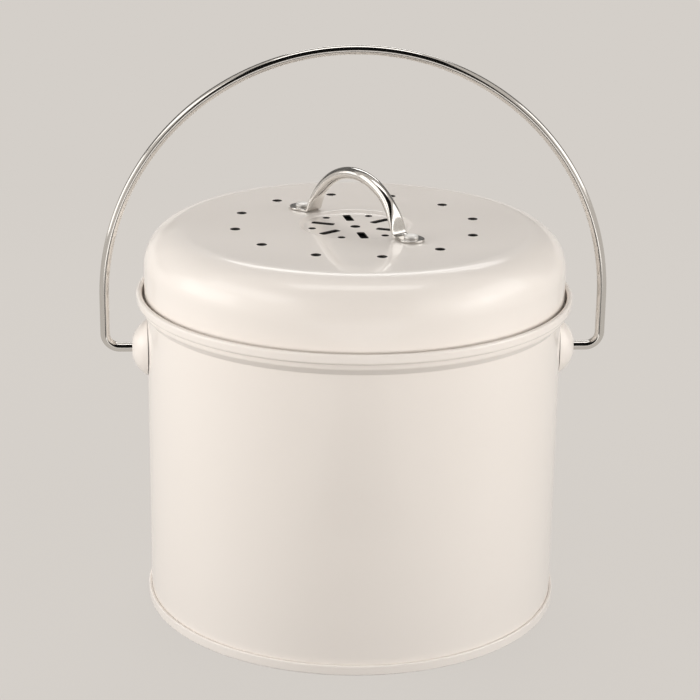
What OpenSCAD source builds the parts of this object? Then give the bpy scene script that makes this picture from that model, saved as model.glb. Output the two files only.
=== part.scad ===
// Round sheet-steel kitchen caddy: a bucket with a rolled rim, a vented lift-off lid that
// nests inside that rim, a bar handle on the lid and a wire bail that swings in two ears.
// All sizes are in millimetres. The bucket stands on z = 0, the bail's pivots lie along X,
// -Y is the front and the vertical axis of the bucket is the origin.

/* [Bucket] */
// Outer radius of the bucket wall
body_r = 86; // [60:1:120]
// Height from the table to the top of the rolled rim
body_h = 135; // [100:1:220]
// Thickness of the bucket's steel sheet
sheet_t = 0.6; // [0.5:0.05:0.8]
// Height of the widened band, from its step to the top of the rim
band_h = 6.2; // [5.5:0.1:14]
// How far the widened band stands out from the wall
band_step = 2.6; // [1.8:0.1:4]
// Height of the sloping step between wall and band
step_h = 2.9; // [2:0.1:6]
// Width of the rolled bead around the rim, measured outward
bead_w = 2.3; // [2:0.1:3]
// Height of the rolled bead
bead_h = 4.2; // [3.4:0.1:5]
// Open slit where the rolled edge comes back to the band
bead_slit = 0.4; // [0.2:0.05:0.5]
// Height of the folded seam that holds the base
seam_h = 4.2; // [3:0.1:7]
// Clearance between the folded sheets of the base seam
seam_gap = 0.05; // [0.02:0.01:0.1]

/* [Ears] */
// Distance from the top of the rim down to the bail's axis
ear_drop = 26; // [24:0.5:40]
// Radius of an ear where it meets the wall
ear_r = 12; // [10:0.5:14]
// How far an ear stands out from the wall
ear_h = 6.3; // [5:0.1:10]
// Radius of the flat face of an ear
ear_face_r = 4.5; // [3.5:0.1:6]
// Thickness of the pressed ear
ear_t = 1; // [0.8:0.1:1.4]
// Clearance between the back of an ear and the wall that it is welded to
ear_gap = 0.02; // [0.01:0.01:0.05]

/* [Bail] */
// Diameter of the bail wire
bail_d = 4; // [3:0.1:5]
// Distance from the bucket wall to the middle of a bail leg
bail_reach = 17.7; // [15:0.1:40]
// Length of the straight legs, from the pivot axis to the start of the arch
bail_leg = 21.4; // [10:0.1:80]
// Radius of the bend between a leg and its pivot end
bail_bend_r = 6; // [4:0.5:8]
// Radial clearance of the wire in the ear
bail_fit = 0.05; // [0.02:0.01:0.1]
// Radius of the upset head that keeps the wire in the ear
head_r = 3.4; // [2.8:0.1:4.5]
// Thickness of the upset head
head_t = 1.8; // [1:0.1:2]
// End play between the upset head and the inside of the ear
head_play = 0.3; // [0.1:0.05:0.6]

/* [Lid] */
// Radial clearance between the lid skirt and the band of the bucket
lid_gap = 1; // [0.6:0.1:1.2]
// Height of the lid from the bottom of its skirt to its flat top
lid_h = 34.2; // [26:0.1:60]
// Thickness of the lid's steel sheet
lid_t = 0.6; // [0.5:0.05:0.8]
// Radius of the lid's rounded shoulder
lid_shoulder_r = 16.4; // [8:0.1:18]
// Width of the folded hem inside the skirt
hem_w = 1.3; // [1.2:0.1:2]
// Height of the folded hem
hem_h = 3.6; // [2.5:0.1:6]
// Gap left between the hem and the step that it rests on
seat_gap = 0.3; // [0.1:0.05:0.5]
// Turn of the lid in the rim, from the bail's axis to the line of its handle
lid_turn = -51; // [-180:1:180]
// Radius of the shallow dish pressed into the middle of the lid
dish_r = 23.5; // [22.5:0.1:25]
// Depth of the dish
dish_depth = 1.5; // [0.5:0.1:2]
// Width of the dish's sloping side
dish_side = 2; // [1:0.1:2.5]

/* [Vents] */
// Radius of the outer ring of vent holes
vent_ring_r = 50; // [46:0.5:52]
// Number of holes in the outer ring
vent_ring_n = 12; // [4:1:24]
// Diameter of a hole in the outer ring
vent_ring_d = 4; // [2:0.1:6]
// Radius of the inner ring of small holes
vent_small_r = 18.1; // [16:0.1:22]
// Diameter of a small hole
vent_small_d = 3; // [2:0.1:4]
// Diameter of the hole in the middle of the lid
vent_middle_d = 4; // [2:0.1:6]
// Radius at which the radial slots start
slot_start = 9.2; // [8:0.1:12]
// Length of a radial slot
slot_l = 9.6; // [4:0.1:14]
// Width of a radial slot
slot_w = 3.2; // [2:0.1:4]
// Number of radial slots, and of small holes between them
slot_n = 6; // [3:1:8]
// Corner radius of a radial slot
slot_corner_r = 0.6; // [0.3:0.1:0.9]

/* [Lid handle] */
// Distance from the middle of the lid to a handle rivet
rivet_r = 33.3; // [32.5:0.1:36]
// Diameter of the handle's round bar
bar_d = 5; // [4:0.1:6]
// Radius of the handle's arch along the middle of the bar
arch_r = 27; // [25:0.1:28]
// How far the centre of that arch lies below the lid's top
arch_drop = 5.9; // [3:0.1:8]
// Thickness of the bar's flattened ends
tab_t = 1.1; // [0.8:0.1:1.6]
// Half of the width of a flat tab beside its rivet
tab_half_w = 5.3; // [4.8:0.1:7]
// Half of the width of a tab at its fold
neck_half_w = 3.8; // [3:0.1:4.8]
// Distance from a rivet to the rounded end of its tab
tab_end = 5.6; // [5:0.1:8]
// Radius inside the fold between tab and arch
fold_r = 1.4; // [1:0.1:2.5]
// Turn of the arch over which the bar goes from flat to round, in degrees
flare_turn = 34; // [25:1:45]
// Radius of a rivet's shank
rivet_shank_r = 1.6; // [1.2:0.1:2]
// Clearance around a rivet's shank
rivet_gap = 0.05; // [0.02:0.01:0.1]
// Radius of a rivet's domed head
rivet_head_r = 2.9; // [2.4:0.1:3.4]
// Height of a rivet's domed head
rivet_head_h = 1.5; // [1:0.1:2]
// Radius of the tail upset under the lid
rivet_tail_r = 2.7; // [2.2:0.1:3.4]
// Thickness of that tail
rivet_tail_h = 1.2; // [0.8:0.1:1.6]

/* [Filter] */
// Thickness of the charcoal filter
filter_t = 8; // [5:0.5:12]
// Radius of the filter's soft edges
filter_edge_r = 2; // [1:0.1:2.5]
// Space above the filter, under the rivet tails and the dish
filter_clear = 0.5; // [0.3:0.1:2]
// Width of a clip
clip_w = 10; // [6:0.5:14]
// Thickness of a clip
clip_t = 0.6; // [0.4:0.05:0.9]
// Clearance between a clip and the filter
clip_gap = 0.1; // [0.05:0.05:0.3]
// Length of the foot welded to the lid
clip_foot = 8; // [5:0.1:8]
// Distance from the end of that foot to the lid's rounded shoulder
foot_edge = 4; // [2:0.1:8]
// Length of the toe under the filter
clip_toe = 7; // [4:0.5:12]
// Outer radius of a clip's two bends
clip_bend_r = 1.2; // [1:0.1:1.6]

/* [Hidden] */
$fn = 180;

cream = [0.93, 0.90, 0.85];
stainless = [0.72, 0.71, 0.69];
charcoal = [0.16, 0.16, 0.17];

// Bucket: radii of the wall and heights of the step and the band
wall_in = body_r - sheet_t;
band_in = wall_in + band_step;
band_z = body_h - band_h;
step_z = band_z - step_h;

// Base seam: a channel of sheet that holds the wall and the hook folded out of its foot
hook_in = body_r + seam_gap;
hook_out = hook_in + sheet_t;
seam_r = hook_out + seam_gap + sheet_t;
seam_in = wall_in - seam_gap - sheet_t;
wall_foot = sheet_t + seam_gap;
hook_top = seam_h - sheet_t - seam_gap;

// Ears: the dome is part of a ball that passes through its base and its flat face
pivot_z = body_h - ear_drop;
ear_back = body_r + ear_gap;
ball_drop = (ear_r * ear_r - ear_face_r * ear_face_r - ear_h * ear_h) / (2 * ear_h);
ball_r = sqrt(ear_r * ear_r + ball_drop * ball_drop);

// Bail: the legs stand at leg_x and the upset heads lie inside the ears
wire_r = bail_d / 2;
leg_x = body_r + bail_reach;
arch_z = pivot_z + bail_leg;
head_x = ear_back + ear_h - ear_t - head_play - head_t;

// Lid: its hem rests on the sloping step, so its height follows from the slope
lid_r = band_in - lid_gap;
hem_r = hem_w / 2;
slope = atan2(step_h, band_step);
hem_mid_r = lid_r - hem_r;
hem_rise = ((hem_mid_r - wall_in) * sin(slope) + hem_r + seat_gap) / cos(slope);
lid_z = step_z + hem_rise - hem_r;
lid_top = lid_z + lid_h;
lid_under = lid_top - lid_t;
flat_r = lid_r - lid_shoulder_r;
dish_z = lid_top - dish_depth;
dish_floor_r = dish_r - dish_side;

// Filter and clips, hung under the flat of the lid
clip_in = flat_r - foot_edge - clip_foot;
filter_r = clip_in - clip_gap;
filter_top = lid_under - max(dish_depth, rivet_tail_h) - filter_clear;
filter_z = filter_top - filter_t;
toe_z = filter_z - clip_gap - clip_t;
clip_n = 4;
first_clip = 45;

// Lid handle: the middle of its bar, from the tip of a tab to the round part of the arch
bar_r = bar_d / 2;
tab_mid = tab_t / 2;
fold_mid = fold_r + tab_mid;
fold_rise = tab_mid + fold_mid + arch_drop;
fold_x = sqrt(pow(arch_r + fold_mid, 2) - pow(fold_rise, 2));
fold_turn = acos(fold_rise / (arch_r + fold_mid));
flare_start = 90 - fold_turn;
flare_end = flare_start + flare_turn;
tip_steps = 6;
neck_steps = 3;
fold_steps = 5;
flare_steps = 8;
bar_sides = 20;
// How square the flat section is: the power on the sine and cosine of a round one
flat_power = 0.25;
// Least share of a tab's width, at its tip
tip_blunt = 0.08;
// The thickness is round sooner than the width
swell_share = 0.75;
// The faceted end enters the round bar by this turn, and is this much thinner there
plug_turn = 2;
plug_fit = 0.02;

// Blends from 0 to 1 with no corner at either end
function ease(t) = let (s = min(max(t, 0), 1)) s * s * (3 - 2 * s);

// A stop on the bar's path: [x, z, normal x, normal z, half width, half thickness, power]
function tip_stop(i) =
    let (a = 90 * i / tip_steps)
    [
        rivet_r + tab_end * cos(a), tab_mid, 0, 1,
        tab_half_w * max(sin(a), tip_blunt), tab_mid, flat_power
    ];
function neck_stop(i) =
    let (share = i / neck_steps)
    [
        rivet_r + (fold_x - rivet_r) * share, tab_mid, 0, 1,
        tab_half_w + (neck_half_w - tab_half_w) * ease(share), tab_mid, flat_power
    ];
function fold_stop(i) =
    let (a = fold_turn * i / fold_steps)
    [
        fold_x - fold_mid * sin(a), tab_mid + fold_mid * (1 - cos(a)), sin(a), cos(a),
        neck_half_w, tab_mid, flat_power
    ];
function arch_stop(a, wide, thick) = [
    arch_r * cos(a), arch_r * sin(a) - arch_drop, cos(a), sin(a),
    neck_half_w + (bar_r - plug_fit - neck_half_w) * wide,
    tab_mid + (bar_r - plug_fit - tab_mid) * thick,
    flat_power + (1 - flat_power) * thick
];
function flare_stop(i) =
    let (share = i / flare_steps)
    arch_stop(flare_start + flare_turn * share, ease(share), ease(share / swell_share));
end_path = concat(
    [for (i = [0:tip_steps]) tip_stop(i)],
    [for (i = [1:neck_steps - 1]) neck_stop(i)],
    [for (i = [0:fold_steps]) fold_stop(i)],
    [for (i = [1:flare_steps]) flare_stop(i)],
    [arch_stop(flare_end + plug_turn, 1, 1)]
);

// One point of the section at a stop, in the direction a around it
function toward(v, power) = sign(v) * pow(abs(v), power);
function bar_point(p, a) =
    let (out = p[5] * toward(sin(a), p[6]))
    [p[0] + p[2] * out, p[4] * toward(cos(a), p[6]), p[1] + p[3] * out];
function bar_ring(p) = [for (j = [0:bar_sides - 1]) bar_point(p, 360 * j / bar_sides)];

// A rectangle with round corners, from its lower left corner
module round_rect(w, h, r) {
    translate([r, 0]) square([w - 2 * r, h]);
    translate([0, r]) square([w, h - 2 * r]);
    for (x = [r, w - r])
        for (y = [r, h - r])
            translate([x, y]) circle(r = r);
}

// A rectangle whose ends are half circles, from its lower left corner
module stadium(w, h) {
    translate([0, w / 2]) square([w, h - w]);
    for (y = [w / 2, h - w / 2])
        translate([w / 2, y]) circle(d = w);
}

// A quarter of a ring, between the directions +X and +Y
module quarter_ring(r, t) {
    intersection() {
        difference() {
            circle(r = r);
            circle(r = r - t);
        }
        square(r);
    }
}

// Bucket wall: a rolled sheet with a swaged band, a rolled bead and a hook at its foot
module bucket_wall() {
    color(cream)
        rotate_extrude() {
            translate([wall_in, wall_foot]) square([sheet_t, step_z - wall_foot]);
            polygon([
                [wall_in, step_z],
                [body_r, step_z],
                [band_in + sheet_t, band_z],
                [band_in, band_z]
            ]);
            translate([band_in, band_z]) square([sheet_t, band_h - bead_w / 2]);
            bead_profile();
            translate([wall_in, wall_foot]) square([hook_out - wall_in, sheet_t]);
            translate([hook_in, wall_foot]) square([sheet_t, hook_top - wall_foot]);
        }
}

module bead_profile() {
    translate([band_in, body_h - bead_h])
        difference() {
            stadium(bead_w, bead_h);
            translate([sheet_t, sheet_t]) stadium(bead_w - 2 * sheet_t, bead_h - 2 * sheet_t);
            square([sheet_t, bead_h - bead_w / 2]);
            translate([sheet_t, 0]) square([bead_slit, bead_w / 2]);
        }
}

// Bucket base: a recessed disc whose edge is folded around the foot of the wall
module bucket_base() {
    color(cream)
        rotate_extrude() {
            difference() {
                translate([seam_in, 0]) round_rect(seam_r - seam_in, seam_h, sheet_t);
                translate([seam_in + sheet_t, sheet_t])
                    square([seam_r - seam_in - 2 * sheet_t, seam_h - 2 * sheet_t]);
                translate([wall_in - seam_gap, sheet_t])
                    square([sheet_t + 2 * seam_gap, seam_h]);
            }
            translate([0, seam_h - sheet_t]) square([seam_in + sheet_t / 2, sheet_t]);
        }
}

// Ear: a pressed cap with a flat face and a bore for the bail
module ear(side) {
    color(cream)
        translate([side * ear_back, 0, pivot_z])
            rotate([0, side * 90, 0])
                difference() {
                    rotate_extrude()
                        difference() {
                            ear_dome(ball_r, ear_h);
                            ear_dome(ball_r - ear_t, ear_h - ear_t);
                        }
                    cylinder(r = wire_r + bail_fit, h = 3 * ear_h, center = true);
                }
}

module ear_dome(r, h) {
    intersection() {
        translate([0, -ball_drop]) circle(r = r);
        square([r, h]);
    }
}

// Bail: one wire with an arch, two straight legs and headed ends in the ears
module bail_wire() {
    color(stainless)
        union() {
            translate([0, 0, arch_z])
                rotate([90, 0, 0])
                    rotate_extrude(angle = 180)
                        translate([leg_x, 0]) circle(r = wire_r);
            for (side = [-1, 1]) bail_leg_and_pivot(side);
        }
}

module bail_leg_and_pivot(side) {
    bend_x = side * (leg_x - bail_bend_r);
    translate([side * leg_x, 0, pivot_z + bail_bend_r])
        cylinder(r = wire_r, h = bail_leg - bail_bend_r);
    translate([bend_x, 0, pivot_z + bail_bend_r])
        rotate([90, 0, side > 0 ? 0 : 180])
            rotate([0, 0, -90])
                rotate_extrude(angle = 90)
                    translate([bail_bend_r, 0]) circle(r = wire_r);
    translate([side * head_x, 0, pivot_z])
        rotate([0, side * 90, 0]) {
            cylinder(r = wire_r, h = leg_x - bail_bend_r - head_x);
            cylinder(r = head_r, h = head_t);
        }
}

// Lid: a pressed shell with a round shoulder, a hemmed skirt and a pattern of vents
module lid_shell() {
    cut_h = dish_depth + 3 * lid_t;
    color(cream)
        rotate([0, 0, lid_turn])
            difference() {
                rotate_extrude() lid_profile();
                translate([0, 0, dish_z - 2 * lid_t]) {
                    vent_holes(cut_h);
                    for (side = [-1, 1])
                        translate([side * rivet_r, 0, 0])
                            cylinder(r = rivet_shank_r + rivet_gap, h = cut_h);
                }
            }
}

module lid_profile() {
    translate([lid_r - lid_t, lid_z + hem_r])
        square([lid_t, lid_h - lid_shoulder_r - hem_r]);
    translate([lid_r - hem_w, lid_z]) stadium(hem_w, hem_h);
    translate([flat_r, lid_top - lid_shoulder_r]) quarter_ring(lid_shoulder_r, lid_t);
    translate([dish_r, lid_under]) square([flat_r - dish_r, lid_t]);
    polygon([
        [dish_floor_r, dish_z - lid_t],
        [dish_r, lid_under],
        [dish_r, lid_top],
        [dish_floor_r, dish_z]
    ]);
    translate([0, dish_z - lid_t]) square([dish_floor_r, lid_t]);
}

module vent_holes(cut_h) {
    cylinder(d = vent_middle_d, h = cut_h);
    for (i = [0:vent_ring_n - 1])
        rotate([0, 0, i * 360 / vent_ring_n])
            translate([vent_ring_r, 0, 0]) cylinder(d = vent_ring_d, h = cut_h);
    for (i = [0:slot_n - 1]) {
        rotate([0, 0, i * 360 / slot_n])
            translate([vent_small_r, 0, 0]) cylinder(d = vent_small_d, h = cut_h);
        rotate([0, 0, (i + 0.5) * 360 / slot_n])
            translate([slot_start, -slot_w / 2, 0])
                linear_extrude(height = cut_h) round_rect(slot_l, slot_w, slot_corner_r);
    }
}

// Lid handle: one round bar bent into an arch, with two flattened ends as tabs
module lid_handle() {
    color(stainless)
        translate([0, 0, lid_top])
            rotate([0, 0, lid_turn])
                difference() {
                    union() {
                        handle_arch();
                        handle_end();
                        mirror([1, 0, 0]) handle_end();
                    }
                    for (side = [-1, 1])
                        translate([side * rivet_r, 0, -tab_t])
                            cylinder(r = rivet_shank_r + rivet_gap, h = 3 * tab_t);
                }
}

module handle_arch() {
    translate([0, 0, -arch_drop])
        rotate([90, 0, 0])
            rotate([0, 0, flare_end])
                rotate_extrude(angle = 180 - 2 * flare_end)
                    translate([arch_r, 0]) circle(r = bar_r);
}

// Half of the handle as rings of points; its two end faces are strips of triangles
module handle_end() {
    rings = len(end_path);
    n = bar_sides;
    last = (rings - 1) * n;
    half = n / 2;
    polyhedron(
        points = [for (p = end_path) each bar_ring(p)],
        faces = concat(
            [for (j = [1:half - 1]) [j, n - j, n - j - 1]],
            [for (j = [0:half - 2]) [j, n - j - 1, j + 1]],
            [for (i = [0:rings - 2]) for (j = [0:n - 1])
                let (a = i * n + j, b = i * n + (j + 1) % n)
                [a, b, b + n]],
            [for (i = [0:rings - 2]) for (j = [0:n - 1])
                let (a = i * n + j, b = i * n + (j + 1) % n)
                [a, b + n, a + n]],
            [for (j = [1:half - 1]) [last + j, last + n - j - 1, last + n - j]],
            [for (j = [0:half - 2]) [last + j, last + j + 1, last + n - j - 1]]
        )
    );
}

// Rivets: a domed head on each tab, a shank and a tail upset under the lid
module handle_rivets() {
    color(stainless)
        rotate([0, 0, lid_turn])
            for (side = [-1, 1])
                translate([side * rivet_r, 0, lid_top]) rivet();
}

module rivet() {
    cap_ball = (rivet_head_r * rivet_head_r + rivet_head_h * rivet_head_h) / (2 * rivet_head_h);
    rotate_extrude() {
        translate([0, tab_t])
            intersection() {
                translate([0, rivet_head_h - cap_ball]) circle(r = cap_ball);
                square([rivet_head_r, rivet_head_h]);
            }
        translate([0, -lid_t]) square([rivet_shank_r, lid_t + tab_t]);
        translate([0, -lid_t - rivet_tail_h]) square([rivet_tail_r, rivet_tail_h]);
    }
}

// Clip: a strip with a foot welded to the lid, a leg and a toe under the filter
module filter_clip(i) {
    color(cream)
        rotate([0, 0, lid_turn + first_clip + i * 360 / clip_n])
            translate([clip_in, clip_w / 2, 0])
                rotate([90, 0, 0])
                    linear_extrude(height = clip_w) clip_profile();
}

module clip_profile() {
    bend = clip_bend_r;
    leg_top = lid_under - bend;
    leg_foot = toe_z + bend;
    translate([bend, lid_under - clip_t]) square([clip_foot - bend, clip_t]);
    translate([bend, leg_top]) rotate(90) quarter_ring(bend, clip_t);
    translate([0, leg_foot]) square([clip_t, leg_top - leg_foot]);
    translate([clip_t - bend, leg_foot]) rotate(-90) quarter_ring(bend, clip_t);
    translate([clip_t - clip_toe, toe_z]) square([clip_toe - bend, clip_t]);
}

// Filter: a soft round pad of carbon felt
module charcoal_filter() {
    color(charcoal)
        translate([0, 0, filter_z])
            rotate_extrude()
                intersection() {
                    translate([-filter_r, 0]) round_rect(2 * filter_r, filter_t, filter_edge_r);
                    square([filter_r, filter_t]);
                }
}

bucket_wall();
bucket_base();
ear(-1);  // ear_left
ear(1);  // ear_right
bail_wire();
lid_shell();
lid_handle();
handle_rivets();
filter_clip(0);  // filter_clip_1
filter_clip(1);  // filter_clip_2
filter_clip(2);  // filter_clip_3
filter_clip(3);  // filter_clip_4
charcoal_filter();
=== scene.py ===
import bpy
import bmesh
import math
from mathutils import Matrix, Vector, noise


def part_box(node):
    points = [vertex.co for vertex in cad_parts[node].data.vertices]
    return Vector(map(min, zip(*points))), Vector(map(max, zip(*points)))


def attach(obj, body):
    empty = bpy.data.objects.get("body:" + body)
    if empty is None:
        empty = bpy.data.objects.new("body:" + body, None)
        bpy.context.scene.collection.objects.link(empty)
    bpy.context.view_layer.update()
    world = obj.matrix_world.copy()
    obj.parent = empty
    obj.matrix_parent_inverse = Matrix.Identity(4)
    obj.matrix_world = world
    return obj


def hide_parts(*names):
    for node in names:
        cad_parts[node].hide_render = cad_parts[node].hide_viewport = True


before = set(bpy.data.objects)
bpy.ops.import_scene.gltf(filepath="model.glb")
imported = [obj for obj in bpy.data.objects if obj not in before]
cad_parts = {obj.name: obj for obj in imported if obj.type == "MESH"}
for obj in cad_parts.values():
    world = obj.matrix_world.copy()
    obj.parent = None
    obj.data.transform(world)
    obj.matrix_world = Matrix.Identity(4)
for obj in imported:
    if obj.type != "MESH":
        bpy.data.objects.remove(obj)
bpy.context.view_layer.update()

# Camera. It stands in front of the caddy and a little to its left, and looks down on it with
# a long lens. Its place is where the ring of holes in the lid and the rim line up.
CAMERA_AWAY = 0.82734
CAMERA_HEIGHT = 0.38217
CAMERA_LEFT_DEG = 3.3
CAMERA_AIM_DEG = -0.105
CAMERA_DOWN_DEG = 18.386
CAMERA_ROLL_DEG = 0.751
LENS_MM = 106.73

stand = math.radians(CAMERA_LEFT_DEG)
camera = bpy.data.objects.new("camera", bpy.data.cameras.new("camera"))
bpy.context.scene.collection.objects.link(camera)
camera.data.lens = LENS_MM
camera.data.sensor_width = 36
camera.data.clip_start = 0.05
camera.location = (-CAMERA_AWAY * math.sin(stand), -CAMERA_AWAY * math.cos(stand), CAMERA_HEIGHT)
camera.rotation_mode = "QUATERNION"
camera.rotation_quaternion = (
    Matrix.Rotation(-stand - math.radians(CAMERA_AIM_DEG), 4, "Z")
    @ Matrix.Rotation(math.radians(90 - CAMERA_DOWN_DEG), 4, "X")
    @ Matrix.Rotation(math.radians(CAMERA_ROLL_DEG), 4, "Z")
).to_quaternion()
bpy.context.scene.camera = camera
bpy.context.scene.view_settings.view_transform = "Standard"


# Floor and room. A wide pale sheet lies under the caddy, in a room of the same colour, so the
# sheet's far edge doesn't show. The floor keeps the caddy's soft shadow.
BACKDROP = (0.658, 0.623, 0.584, 1)
FLOOR_SIZE = 12
FLOOR_LIT = (0.3, 0.75, 0.09, 0.0)
# The light that the floor gives back is painted darker near the caddy, as shade on the bottom of the caddy's
# wall.
FLOOR_BOUNCE = (0.18, 0.6, 0.1, 0.85)
ROOM_LIGHT = 0.43


def add_node(tree, kind, **inputs):
    """Adds a node to a tree and sets its inputs by name, or its settings where no input has that name."""
    node = tree.nodes.new(kind)
    for name, value in inputs.items():
        socket = node.inputs.get(name.replace("_", " "))
        if socket is not None and not hasattr(node, name):
            socket.default_value = value
        else:
            setattr(node, name, value)
    return node


def seen_ray(tree):
    """1 for what the camera sees, also in metal, and 0 for light on its way to the paint."""
    path = add_node(tree, "ShaderNodeLightPath")
    first = add_node(tree, "ShaderNodeMath", operation="MAXIMUM")
    last = add_node(tree, "ShaderNodeMath", operation="MAXIMUM")
    tree.links.new(path.outputs["Is Camera Ray"], first.inputs[0])
    tree.links.new(path.outputs["Is Glossy Ray"], first.inputs[1])
    tree.links.new(first.outputs[0], last.inputs[0])
    tree.links.new(path.outputs["Is Transmission Ray"], last.inputs[1])
    return last.outputs[0]


def fading(tree, distance, near, far, near_share, far_share):
    """A share that changes smoothly with the distance from the middle of the floor."""
    share = add_node(tree, "ShaderNodeMapRange", interpolation_type="SMOOTHSTEP")
    for name, value in zip(("From Min", "From Max", "To Min", "To Max"), (near, far, near_share, far_share)):
        share.inputs[name].default_value = value
    tree.links.new(distance, share.inputs["Value"])
    return share.outputs["Result"]


def tinted(tree, share):
    """The backdrop's colour times a share."""
    tint = add_node(tree, "ShaderNodeVectorMath", operation="SCALE")
    tint.inputs[0].default_value = BACKDROP[:3]
    tree.links.new(share, tint.inputs["Scale"])
    return tint.outputs["Vector"]


def floor_material():
    """Shows the backdrop's colour with a soft shadow near the caddy, and gives a little light back, painted
    darker near the caddy as shade on the bottom of its wall.
    """
    made = bpy.data.materials.new("pale_floor")
    made.use_nodes = True
    tree = made.node_tree
    tree.nodes.clear()
    spot = add_node(tree, "ShaderNodeNewGeometry")
    away = add_node(tree, "ShaderNodeVectorMath", operation="LENGTH")
    lit = add_node(tree, "ShaderNodeBsdfDiffuse")
    lit_share = fading(tree, away.outputs["Value"], *FLOOR_LIT)
    own = add_node(tree, "ShaderNodeEmission")
    own.inputs["Color"].default_value = BACKDROP
    rest = add_node(tree, "ShaderNodeMath", operation="SUBTRACT")
    rest.inputs[0].default_value = 1
    both = add_node(tree, "ShaderNodeAddShader")
    bounce = add_node(tree, "ShaderNodeBsdfDiffuse")
    mix = add_node(tree, "ShaderNodeMixShader")
    out = add_node(tree, "ShaderNodeOutputMaterial")
    for start, end in (
        (spot.outputs["Position"], away.inputs[0]), (tinted(tree, lit_share), lit.inputs["Color"]),
        (lit_share, rest.inputs[1]), (rest.outputs[0], own.inputs["Strength"]),
        (tinted(tree, fading(tree, away.outputs["Value"], *FLOOR_BOUNCE)), bounce.inputs["Color"]),
        (lit.outputs[0], both.inputs[0]), (own.outputs[0], both.inputs[1]), (seen_ray(tree), mix.inputs[0]),
        (bounce.outputs[0], mix.inputs[1]), (both.outputs[0], mix.inputs[2]),
        (mix.outputs[0], out.inputs["Surface"])
    ):
        tree.links.new(start, end)
    return made


def lay_floor():
    bm = bmesh.new()
    bmesh.ops.create_grid(bm, x_segments=1, y_segments=1, size=FLOOR_SIZE / 2)
    mesh = bpy.data.meshes.new("floor")
    bm.to_mesh(mesh)
    bm.free()
    mesh.materials.append(floor_material())
    floor = bpy.data.objects.new("floor", mesh)
    bpy.context.scene.collection.objects.link(floor)
    return floor


def paint_room():
    world = bpy.data.worlds.new("room")
    bpy.context.scene.world = world
    world.use_nodes = True
    tree = world.node_tree
    tree.nodes.clear()
    seen = add_node(tree, "ShaderNodeBackground", Strength=1.0)
    seen.inputs["Color"].default_value = BACKDROP
    light = add_node(tree, "ShaderNodeBackground", Strength=ROOM_LIGHT)
    light.inputs["Color"].default_value = (1, 0.985, 0.965, 1)
    mix = add_node(tree, "ShaderNodeMixShader")
    out = add_node(tree, "ShaderNodeOutputWorld")
    tree.links.new(seen_ray(tree), mix.inputs[0])
    tree.links.new(light.outputs[0], mix.inputs[1])
    tree.links.new(seen.outputs[0], mix.inputs[2])
    tree.links.new(mix.outputs[0], out.inputs["Surface"])


lay_floor()
paint_room()


# Lamps. Four wide soft fills light the paint from the left, the right, the front and high at the
# back. Smaller boxes, panels and strips only show as highlights in the metal and the gloss.
LAMPS = {
    "left_box": dict(turn=-86, rise=14, away=1.1, size=(0.75, 0.45), watts=1.2),
    "left_panel": dict(turn=-68, rise=38, away=1.2, size=(1.0, 0.36), watts=1.3),
    "right_box": dict(turn=62, rise=16, away=1.1, size=(0.36, 0.3), watts=0.36),
    "right_panel": dict(turn=84, rise=26, away=1.2, size=(0.7, 0.6), watts=1.6),
    "back_strip": dict(turn=172, rise=43, away=1.2, size=(0.75, 0.28), watts=1.8),
    "top_strip": dict(turn=0, rise=85, away=1.2, size=(0.9, 0.26), watts=1.7),
    "left_fill": dict(turn=-82, rise=8, away=1.3, size=(0.9, 0.9), watts=16.6),
    "right_fill": dict(turn=68, rise=8, away=1.3, size=(0.9, 0.9), watts=11.8),
    "front_fill": dict(turn=6, rise=-1, away=0.85, size=(0.6, 0.14), watts=1.85),
    "back_fill": dict(turn=180, rise=38, away=1.3, size=(0.9, 0.9), watts=10.6)
}
LAMP_AIM = Vector((0, 0, 0.1))


def hang_lamp(name, turn, rise, away, size, watts):
    data = bpy.data.lights.new(name, "AREA")
    data.shape = "RECTANGLE"
    data.size, data.size_y = size
    data.energy = watts
    data.color = (1, 0.99, 0.98)
    lamp = bpy.data.objects.new(name, data)
    bpy.context.scene.collection.objects.link(lamp)
    a, e = math.radians(turn), math.radians(rise)
    back = Vector((math.sin(a) * math.cos(e), -math.cos(a) * math.cos(e), math.sin(e)))
    lamp.location = LAMP_AIM + back * away
    lamp.rotation_mode = "QUATERNION"
    lamp.rotation_quaternion = back.to_track_quat("Z", "Y")
    lamp.visible_glossy = not name.endswith("fill")
    lamp.visible_diffuse = name.endswith("fill")


for lamp_name, lamp_facts in LAMPS.items():
    hang_lamp(lamp_name, **lamp_facts)


# Screens and cards. Dark cloths, which the camera doesn't see, hang behind it and behind the
# caddy, and cards lie on the floor outside the view. They give the bright metal its lines.
SCREENS = {
    "front_screen": dict(away=2.2, half_turn=27, rise=(-2, 74), grey=0.012),
    "back_screen": dict(away=2.3, half_turn=60, rise=(112, 172), grey=0.32)
}
SCREEN_STEPS = 16
FLOOR_CARDS = {
    "pale_card": dict(left=-0.3, right=0.3, far=-0.5, near=-0.66, bright=1.8),
    "dark_card": dict(left=-0.08, right=0.08, far=-0.22, near=-0.45, bright=0.15)
}


def hide_stage(name, bm, grey, bright):
    """A cloth or card that only shows in the metal and the gloss of the paint."""
    mesh = bpy.data.meshes.new(name)
    bm.to_mesh(mesh)
    bm.free()
    cloth = bpy.data.materials.new(name)
    cloth.use_nodes = True
    face = cloth.node_tree.nodes["Principled BSDF"]
    face.inputs["Base Color"].default_value = (grey, grey, grey, 1)
    face.inputs["Roughness"].default_value = 1
    face.inputs["Specular IOR Level"].default_value = 0
    face.inputs["Emission Color"].default_value = (1, 0.97, 0.94, 1)
    face.inputs["Emission Strength"].default_value = bright
    mesh.materials.append(cloth)
    screen = bpy.data.objects.new(name, mesh)
    bpy.context.scene.collection.objects.link(screen)
    screen.visible_camera = False
    screen.visible_diffuse = False
    screen.visible_shadow = False


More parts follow.
